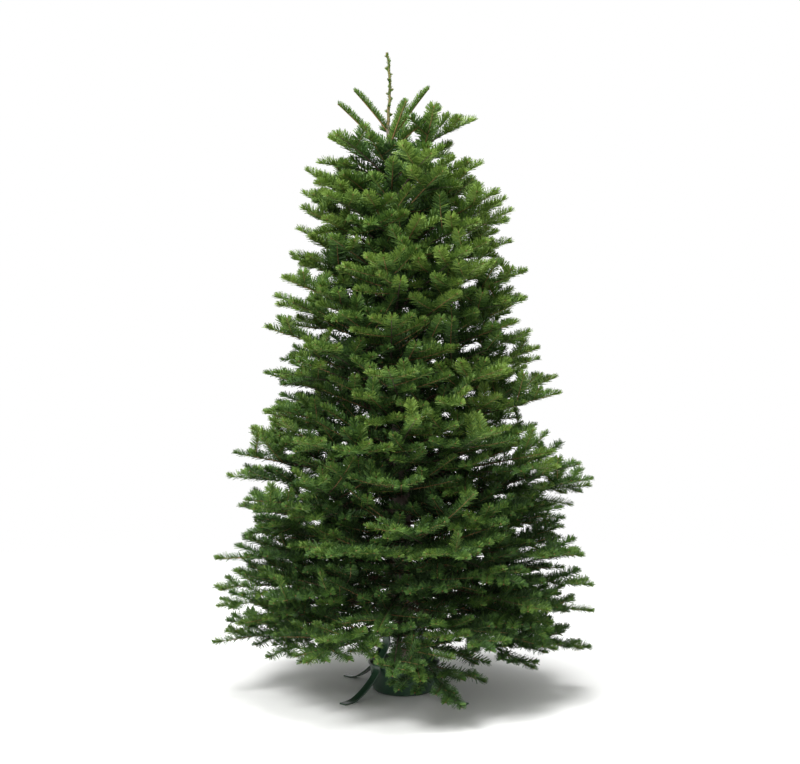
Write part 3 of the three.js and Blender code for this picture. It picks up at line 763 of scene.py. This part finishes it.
def crown_stretches(twigs):
    """The needle-bearing stretches of the crown."""
    found = []
    for twig in twigs:
        line = twig.line
        heights = line.middles[:, 2]
        out = core_share(line.middles)
        core = core_at(heights)
        vigour = smooth_step(*VIGOUR.heights, heights.mean())
        beyond = line.length - line.distances[1:]
        weight = smooth_step(core, core + CORE.depth, out) * (line.distances[1:] > twig.bare)
        weight *= lerp(SHELL.inner, 1, smooth_step(SHELL.start, SHELL.full, out))
        weight *= lerp(1, VIGOUR.weight, vigour)
        weight *= 1 + TIP_CROWD * (beyond < 1)
        young = np.exp(-beyond / TONE.young_stretch)
        # The tone: youth and the random tint are the needles' own colour, the outer share is painted shade
        # of the crown's inside, partly also the older inner needles' own green, and the height is painted
        # light, lighter up the crown
        tone = TONE.out * out + TONE.young * young + TONE.tint * twig.tint
        tone += TONE.height * heights / TIP_Z
        slim = smooth_step(NEEDLE.start, NEEDLE.full, out)
        width = lerp(NEEDLE.inner_half_width, NEEDLE.half_width, slim)
        rise = NEEDLE_RISE.mean + NEEDLE_RISE.slope * (heights.mean() / TIP_Z - NEEDLE_RISE.level)
        stance = Stance(rise, NEEDLE_RISE.spread, NEEDLE_SPREAD.mean, lerp(1, VIGOUR.size, vigour), width)
        found.append(stretches(line, twig.up, weight, tone, stance))
    return found


def top_stretches(shoots, leader):
    """The needle-bearing stretches of the top shoots, the leader and its tufts."""
    found = []
    tone = TOP_GROWTH.tone
    for shoot in shoots:
        weight = smooth_step(*TOP_GROWTH.bare, shoot.line.distances[1:]) * TOP_GROWTH.weight
        found.append(stretches(shoot.line, shoot.up, weight, tone, TOP_STANCE))
    found.append(stretches(leader, FRONT, LEADER.weight, tone, LEADER_STANCE))
    for tuft in leader_tufts(leader):
        found.append(stretches(tuft, UP, TUFTS.weight, tone, TUFT_STANCE))
    return found


def needle_arrays(parts, count, rng):
    """All needles at once: four points and the tone of each."""
    rows = {name: np.concatenate([part[name] for part in parts]) for name in parts[0]}
    share = np.cumsum(rows["weight"])
    index = np.arange(count)
    wanted = (index + rng.uniform(*NEEDLE_PLACE, count)) / count * share[-1]
    picks = np.minimum(np.searchsorted(share, wanted), len(share) - 1)
    row = Values(**{name: values[picks] for name, values in rows.items()})
    along = (1 - (share[picks] - wanted) / row.weight)[:, None]
    step = row.end - row.start
    forward = unit(step)
    side = unit(np.cross(row.up, forward))
    up = np.cross(forward, side)
    root = row.start + step * along
    from_tip = row.from_tip - along[:, 0] * np.linalg.norm(step, axis=1)

    near_tip = np.clip(1 - from_tip / TIP_STRETCH, 0, 1)
    hand = np.where(index % 2, -1.0, 1.0)
    turn = 2 * (index * GOLDEN % 1) - 1
    rise = np.radians(row.rise + row.rise_spread * turn)
    spread = row.angle + NEEDLE_SPREAD.spread * rng.standard_normal(count)
    spread = np.radians(lerp(spread, NEEDLE_SPREAD.tip, near_tip))
    across = side * (hand * np.cos(rise))[:, None] + up * np.sin(rise)[:, None]
    aim = forward * np.cos(spread)[:, None] + across * np.sin(spread)[:, None]
    aim = unit(aim + NEEDLE_LIFT * up)
    length = NEEDLE.length * row.size * rng.uniform(*NEEDLE_LENGTH.share, count)
    length *= lerp(1, NEEDLE_LENGTH.tip, near_tip)

    roll = np.radians(NEEDLE_ROLL * rng.uniform(-1, 1, count))
    flat = unit(np.cross(aim, up + 0.01 * side))
    normal = np.cross(aim, flat)
    width = (flat * np.cos(roll)[:, None] + normal * np.sin(roll)[:, None]) * row.width[:, None]
    tip = root + aim * length[:, None]
    root_width, tip_width = width * NEEDLE_ENDS.root, width * NEEDLE_ENDS.tip
    points = np.stack([root - root_width, root + root_width, tip - tip_width, tip + tip_width], axis=1)
    return points, row.tone + TONE.spread * rng.standard_normal(count)


def add_needles(points, tones, nodes):
    """One piece for each green, the highest tones first."""
    order = np.argsort(-tones)
    start = 0
    shape = np.array([[0, 1, 3], [0, 3, 2]])
    # The lighter pieces carry painted light and the darker ones painted shade, besides the needles' own
    # change with age
    for name, (share, roughness, color) in GREENS.items():
        end = start + round(share * len(order))
        own = points[order[start:end]].reshape(-1, 3)
        start = end
        faces = (np.arange(0, len(own), 4)[:, None, None] + shape).reshape(-1, 3)
        material = needle_material(name, roughness, color)
        place_piece(name, own, faces, "foliage", material, nodes, smooth=False)


# Materials


def add_node(graph, kind, inputs=()):
    """A new node, with values for some of its inputs."""
    node = graph.nodes.new(f"ShaderNode{kind}")
    set_inputs(node, inputs)
    return node


def set_inputs(node, inputs):
    for name, value in dict(inputs).items():
        node.inputs[name].default_value = value


def link(source, output, target, entry):
    """A link between two nodes of one graph."""
    source.id_data.links.new(source.outputs[output], target.inputs[entry])


def new_material(name, inputs):
    """A material, its graph of nodes and its shader."""
    material = bpy.data.materials.new(name)
    material.use_nodes = True
    shader = material.node_tree.nodes["Principled BSDF"]
    set_inputs(shader, inputs)
    return material, material.node_tree, shader


def noise_node(graph, scale, detail, stretch=(1, 1, 1)):
    """A noise texture in the piece's own space, in waves for each metre."""
    place = add_node(graph, "TexCoord")
    mapping = add_node(graph, "Mapping", {"Scale": stretch})
    noise = add_node(graph, "TexNoise", {"Scale": scale, "Detail": detail})
    link(place, "Object", mapping, "Vector")
    link(mapping, "Vector", noise, "Vector")
    return noise


def add_patches(graph, shader, noise, stops):
    """Colours the shader by a noise, with a ramp of places and colours."""
    ramp = add_node(graph, "ValToRGB")
    elements = ramp.color_ramp.elements
    while len(elements) < len(stops):
        elements.new(0.5)
    for element, (place, color) in zip(elements, stops.items()):
        element.position = place
        element.color = (*color, 1)
    link(noise, "Fac", ramp, "Fac")
    link(ramp, "Color", shader, "Base Color")


def patchy_material(name, stops, patches, grain, bump, inputs):
    """A surface with patches of its colours and a fine grain, each one a noise, and the grain's bump."""
    material, graph, shader = new_material(name, inputs)
    add_patches(graph, shader, noise_node(graph, *patches), stops)
    strength, depth = bump
    relief = add_node(graph, "Bump", {"Strength": strength, "Distance": depth})
    link(noise_node(graph, *grain), "Fac", relief, "Height")
    link(relief, "Normal", shader, "Normal")
    return material


def bark_material(name):
    scale, strength, stops = BARKS[name]
    patches, grain = (scale, *BARK.patches), (scale * BARK.finer, *BARK.grain)
    return patchy_material(name, stops, patches, grain, (strength, BARK.depth), BARK.inputs)


def needle_material(name, roughness, color):
    """A waxy needle of one green, with gloss that varies a little."""
    inputs = {"Base Color": (*color, 1), "Specular IOR Level": NEEDLE_GLOSS.specular}
    material, graph, shader = new_material(name, inputs)
    least, most = roughness - NEEDLE_GLOSS.less, roughness + NEEDLE_GLOSS.more
    gloss = add_node(graph, "MapRange", {"To Min": least, "To Max": most})
    link(noise_node(graph, NEEDLE_GLOSS.scale, 2), "Fac", gloss, "Value")
    link(gloss, "Result", shader, "Roughness")
    return material


# Bark


def wavy(rng, u, v, cells_u, cells_v):
    """Smooth relief from -1 to 1 over u and v from 0 to 1, without a seam round u."""
    grid = rng.uniform(-1, 1, (cells_u, cells_v + 2))
    x = u * cells_u
    y = v * cells_v
    i = np.floor(x).astype(int) % cells_u
    j = np.minimum(np.floor(y).astype(int), cells_v)
    fx = smooth_step(0, 1, x - np.floor(x))
    fy = smooth_step(0, 1, y - j)
    after = (i + 1) % cells_u
    low = lerp(grid[i, j], grid[after, j], fx)
    high = lerp(grid[i, j + 1], grid[after, j + 1], fx)
    return lerp(low, high, fy)


def collar_relief(limb, u, heights):
    """The swelling of the trunk under a limb."""
    start, forward = limb.at(0)
    angle = atan2(forward[1], forward[0]) / (2 * pi) % 1
    turn = np.abs((u - angle + 0.5) % 1 - 0.5) * 2 * pi
    rise = (heights - start[2]) / LIMB_COLLAR.rise
    return LIMB_COLLAR.height * np.exp(-(turn**2) / LIMB_COLLAR.turn - rise**2)


def trunk_bark(limbs, rng):
    """The trunk with its flare, the swelling under each limb, resin blisters and fine cracks."""
    rings, sides = TRUNK_MESH
    heights = np.linspace(CUT_Z, TOP_NODE_Z, rings)
    u, v = np.meshgrid(np.arange(sides) / sides, np.linspace(0, 1, rings))
    thick = trunk_radius(heights)[:, None]
    relief = TRUNK_SWELL.share * thick * wavy(rng, u, v, *TRUNK_SWELL.waves)
    grain = TRUNK_GRAIN.height * wavy(rng, u, v, *TRUNK_GRAIN.waves)
    relief += grain * lerp(TRUNK_GRAIN.top, 1, 1 - v)
    blisters = np.clip(wavy(rng, u, v, *BLISTERS.waves) - BLISTERS.level, 0, 1)
    relief += BLISTERS.height * blisters * smooth_step(*BLISTERS.butt, v)
    for limb, share, _ in limbs:
        if share == 1:
            relief += collar_relief(limb, u, heights[:, None])
    radii = thick + relief
    angles = 2 * pi * u
    circle = np.stack([np.cos(angles) * radii, np.sin(angles) * radii, 0 * radii], axis=-1)
    points = (trunk_axis(heights)[:, None] + circle).reshape(-1, 3)
    quads = ring_faces(rings, sides)
    fan = np.arange(sides)
    cut = np.stack([(fan + 1) % sides, fan, np.full(sides, len(points))], axis=1)
    triangles = np.vstack([quads[:, [0, 1, 2]], quads[:, [0, 2, 3]], cut])
    return np.vstack([points, trunk_axis(CUT_Z)]), triangles


def limb_bark(line, share, rng):
    """A limb with a collar where it leaves the trunk, and rings of old bud scars."""
    length = line.length
    count = round(length / LIMB_MESH.step)
    distances = np.linspace(0, length, count)
    points = np.stack([np.interp(distances, line.distances, line.points[:, k]) for k in range(3)], axis=1)
    t = distances / length
    base = (LIMB_RADIUS.base + LIMB_RADIUS.share * length) * share
    radii = lerp(LIMB_RADIUS.tip, base, (1 - t) ** LIMB_RADIUS.taper)
    radii = radii * (1 + LIMB_FOOT.height * np.exp(-distances / LIMB_FOOT.length))
    past_scar = distances % by_height(YEAR, points[-1, 2]) - SCARS.place
    scars = SCARS.height * np.exp(-(past_scar**2) / SCARS.width)
    sides = LIMB_MESH.sides
    u, v = np.meshgrid(np.arange(sides) / sides, t)
    grain = LIMB_GRAIN.height * wavy(rng, u, v, LIMB_GRAIN.waves, count // 2)
    radii = radii[:, None] * (1 + grain + scars[:, None])
    radii[-1] *= LIMB_RADIUS.end
    fine = Line(points)
    return tube(fine, up_of(fine.forwards[0]), radii, sides)


# The stand


def lathe(profile):
    """A closed turned shape from its closed section of radius and height."""
    r, z = np.array(profile, float).T[:, :, None]
    angles = circle_angles(TURNED_SIDES)
    points = np.stack([r * np.cos(angles), r * np.sin(angles), z + 0 * angles], axis=-1)
    return points.reshape(-1, 3), ring_faces(len(profile), TURNED_SIDES)


def rounded(points, times=3):
    """An open path with its inner corners cut until they are round."""
    points = np.array(points, float)
    for _ in range(times):
        first = lerp(points[:-1], points[1:], 0.25)
        last = lerp(points[:-1], points[1:], 0.75)
        cut = np.stack([first, last], axis=1).reshape(-1, 2)
        points = np.vstack([points[:1], cut[1:-1], points[-1:]])
    return points


def arc(centre, radius, first, last, steps):
    angles = np.radians(np.linspace(first, last, steps))
    return [(centre[0] + radius * cos(a), centre[1] + radius * sin(a)) for a in angles]


def turned(points, angle):
    """Points turned about the tree's axis by degrees."""
    c, s = cos(radians(angle)), sin(radians(angle))
    x, y, z = points.T
    return np.stack([c * x - s * y, s * x + c * y, z], axis=1)


def basin_mesh():
    """The pressed bowl with its rounded foot and rolled rim."""
    flat, foot, shoulder, rim, lip, height, wall = vars(BASIN).values()
    shoulder_z, neck_z = vars(BASIN_BENDS).values()
    outside = rounded([(flat, 0), (foot, 0), (shoulder, shoulder_z), (rim - lip, neck_z)])
    roll = arc((rim, height - lip), lip, -170, 150, 14)
    neck, bend = (rim - lip - wall, neck_z), (shoulder - wall, shoulder_z + 1)
    inside = rounded([neck, bend, (foot - wall - 1, wall), (flat, wall)])
    bottom = [(NEAR_AXIS, wall), (NEAR_AXIS, 0)]
    return lathe([*outside, *roll, *inside, *bottom, (flat, 0)])


def collar_mesh():
    """The ring, with its edges rounded over."""
    inner, outer, low, high = vars(COLLAR).values()
    edge = (outer - inner) / 2
    middle = (outer + inner) / 2
    top = arc((middle, high - edge), edge, 0, 180, 9)
    bottom = arc((middle, low + edge), edge, 180, 360, 9)
    return lathe([*top, *bottom, top[0]])


def leg_path():
    """The middle line of a leg's strap as radius and height, from the collar out to the flat foot."""
    half = LEG.thickness / 2
    rim = BASIN.rim + BASIN.lip + LEG.from_rim + half
    outer = COLLAR.outer + LEG.from_collar + half
    upright = [(outer, COLLAR.top), (outer, COLLAR.bottom)]
    by_rim = [(rim, z) for z in LEG_BY_RIM]
    return rounded([*upright, *by_rim, *LEG_BENDS])


def strap_mesh(index):
    """A leg: a strap with rounded edges along its path."""
    path = leg_path()
    along = unit(np.gradient(path, axis=0))
    normal = np.stack([-along[:, 1], along[:, 0]], axis=1)
    width = LEG.width / 2
    inset, share = LEG_EDGE.inset, LEG_EDGE.share
    round_edge = [(width, share), (width - inset, 1.0), (-width + inset, 1.0), (-width, share)]
    section = np.array(round_edge + [(a, -b) for a, b in reversed(round_edge)])
    places = path[:, None] + normal[:, None] * section[:, 1:] * (LEG.thickness / 2)
    r, z = places[..., 0], np.maximum(places[..., 1], 0)
    points = np.stack([r, section[:, 0] + 0 * r, z], axis=-1).reshape(-1, 3)
    faces = ring_faces(len(path), len(section))
    ends = [[0, 1, 2, 3], [0, 3, 4, 7], [4, 5, 6, 7]]
    last = len(points) - len(section)
    caps = [quad[::-1] for quad in ends] + [[last + corner for corner in quad] for quad in ends]
    return turned(points, LEG.turn + 90 * index), np.vstack([faces, caps])


def screw_mesh(index):
    """A clamping screw: a threaded rod with a pad that bears on the bark, and a bar to turn it by."""
    middle = (COLLAR.bottom + COLLAR.top) / 2
    aim = turned(np.array([[1.0, 0, 0]]), 90 * index)[0]
    bearing = trunk_axis(middle)[:2] @ aim[:2] + trunk_radius(middle) + SCREW.from_trunk
    sides, end, depth = SCREW.sides, SCREW.end, SCREW.thread

    def level_line(x, y):
        return Line(np.stack([x + 0 * y, y + 0 * x, middle + 0 * x + 0 * y], axis=1))

    along = np.linspace(bearing, end, round((end - bearing) / SCREW.step))
    thread = np.sin(along[:, None] * 2 * pi / SCREW.pitch + circle_angles(sides))
    radii = SCREW.radius - depth + depth * thread
    radii[[0, -1]] *= SCREW_END
    rod = tube(level_line(along, 0), UP, radii, sides)
    places, pad_radii = np.array(SCREW_PAD).T
    pad = tube(level_line(bearing + places, 0), UP, pad_radii, PAD_SIDES)

    bar = SCREW_BAR
    ends = rounded([(0, bar.end_radius), (0, bar.radius), (bar.round, bar.radius)], 2)
    half = bar.length / 2
    lengths = np.concatenate([-half + ends[:, 0], half - ends[::-1, 0]])
    apart = HAIR * np.arange(len(lengths))
    bar_radii = np.concatenate([ends[:, 1], ends[::-1, 1]])
    handle = tube(level_line(end - bar.inset, lengths + apart), UP, bar_radii, sides)
    points, faces = join([rod, pad, handle])
    return turned(points, 90 * index), faces


# The studio


def add_world():
    """White where the camera sees it, and a softer light for everything else."""
    world = bpy.data.worlds.new("studio")
    world.use_nodes = True
    graph = world.node_tree
    seen, out = graph.nodes["Background"], graph.nodes["World Output"]
    set_inputs(seen, {"Color": (1, 1, 1, 1)})
    light = add_node(graph, "Background", {"Color": (1, 1, 1, 1), "Strength": WORLD_LIGHT})
    ray = add_node(graph, "LightPath")
    mix_shaders(graph, (ray, "Is Camera Ray"), (light, "Background"), (seen, "Background"), out)
    bpy.context.scene.world = world
    bpy.context.scene.view_settings.view_transform = "Standard"


def mix_shaders(graph, factor, first, second, out):
    """Sends a mix of two shaders to the output."""
    mix = add_node(graph, "MixShader")
    for entry, (node, output) in enumerate((factor, first, second)):
        link(node, output, mix, entry)
    link(mix, "Shader", out, "Surface")


def add_lamps():
    for name, place, aim, size, power in LAMPS:
        light = bpy.data.lights.new(name, "AREA")
        light.size = size
        light.energy = power
        lamp = add_object(name, light)
        lamp.location = place
        lamp.rotation_euler = (Vector(aim) - Vector(place)).to_track_quat("-Z", "Y").to_euler()


def add_floor():
    bpy.ops.mesh.primitive_grid_add(x_subdivisions=4, y_subdivisions=4, size=FLOOR.size)
    floor = bpy.context.object
    floor.name = "floor"
    material, graph, shader = new_material("pale floor", {"Roughness": FLOOR.roughness})
    add_patches(graph, shader, noise_node(graph, FLOOR.speck, 3), FLOOR_STOPS)
    fade_out(graph, shader)
    floor.data.materials.append(material)


def fade_out(graph, shader):
    """Lets the floor fade into the white round it."""
    place = add_node(graph, "TexCoord")
    radius = add_node(graph, "VectorMath")
    radius.operation = "LENGTH"
    fade = add_node(graph, "MapRange", zip(("From Min", "From Max"), FLOOR.fade))
    fade.interpolation_type = "SMOOTHSTEP"
    clear = add_node(graph, "BsdfTransparent")
    link(place, "Object", radius, 0)
    link(radius, "Value", fade, "Value")
    mix_shaders(graph, (fade, "Result"), (shader, "BSDF"), (clear, "BSDF"), graph.nodes["Material Output"])


def add_camera():
    """The camera, as the photo has it."""
    data = bpy.data.cameras.new("camera")
    data.lens = CAMERA.lens
    camera = add_object("camera", data)
    camera.location = (CAMERA.x, -CAMERA.distance, CAMERA.height)
    camera.rotation_euler = (radians(90 - CAMERA.tilt), 0, 0)
    bpy.context.scene.camera = camera


# Putting the tree together


def add_bark(limbs, rng):
    trunk = trunk_bark(limbs, rng)
    place_piece("trunk_bark", *trunk, "bark", bark_material("trunk bark"), ["trunk"])
    boughs = join([limb_bark(line, share, rng) for line, share, _ in limbs])
    material = bark_material("bough bark")
    place_piece("bough_bark", *boughs, "bark", material, model_nodes("bough_"))


def add_twigs(twigs, leader, rng):
    """Twigs by age, the leader's stem and every bud."""
    parts = [twig_meshes(twig) for twig in twigs if twig.shown]
    young = join([part for part, _ in parts])
    old = join([part for _, part in parts if part])
    place_piece("twigs_young", *young, "bark", bark_material("young twig bark"))
    place_piece("twigs_old", *old, "bark", bark_material("old twig bark"))
    stem = leader_mesh(leader, rng)
    place_piece("leader_stem", *stem, "bark", bark_material("leader bark"), ["leader"])
    buds = [bud_mesh(twig.line.tip, twig.line.forwards[-1], twig.up) for twig in twigs]
    buds += [bud_mesh(*bud) for bud in leader_buds(leader)]
    place_piece("buds", *join(buds), "foliage", bark_material("bud scales"), smooth=False)


def add_foliage(twigs, shoots, leader, rng):
    parts = crown_stretches(twigs) + top_stretches(shoots, leader)
    points, tones = needle_arrays(parts, NEEDLE_COUNT, rng)
    add_needles(points, tones, model_nodes("foliage_") + model_nodes("top_shoot_"))


def add_stand():
    enamel, zinc = [(slot, patchy_material(*looks)) for slot, looks in FINISHES.items()]
    made = [("stand_bowl", *basin_mesh(), *enamel, ["stand_basin"])]
    made += [(f"stand_strap_{i + 1}", *strap_mesh(i), *enamel, [f"stand_leg_{i + 1}"]) for i in range(4)]
    made += [("stand_ring", *collar_mesh(), *zinc, ["stand_collar"])]
    made += [(f"stand_screw_{i + 1}", *screw_mesh(i), *zinc) for i in range(4)]
    for row in made:
        piece = place_piece(*row)
        piece.data.set_sharp_from_angle(angle=radians(SHARP_EDGE))


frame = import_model()
add_camera()
add_world()
add_lamps()
add_floor()
limbs = plan_limbs()
growth = np.random.default_rng(GROWTH_SEED)
crown = grow_crown(limbs, growth)
shoots = top_shoot_twigs()
leader = leader_line()
add_bark(limbs, growth)
add_twigs(crown + shoots, leader, growth)
add_foliage(crown, shoots, leader, growth)
add_stand()
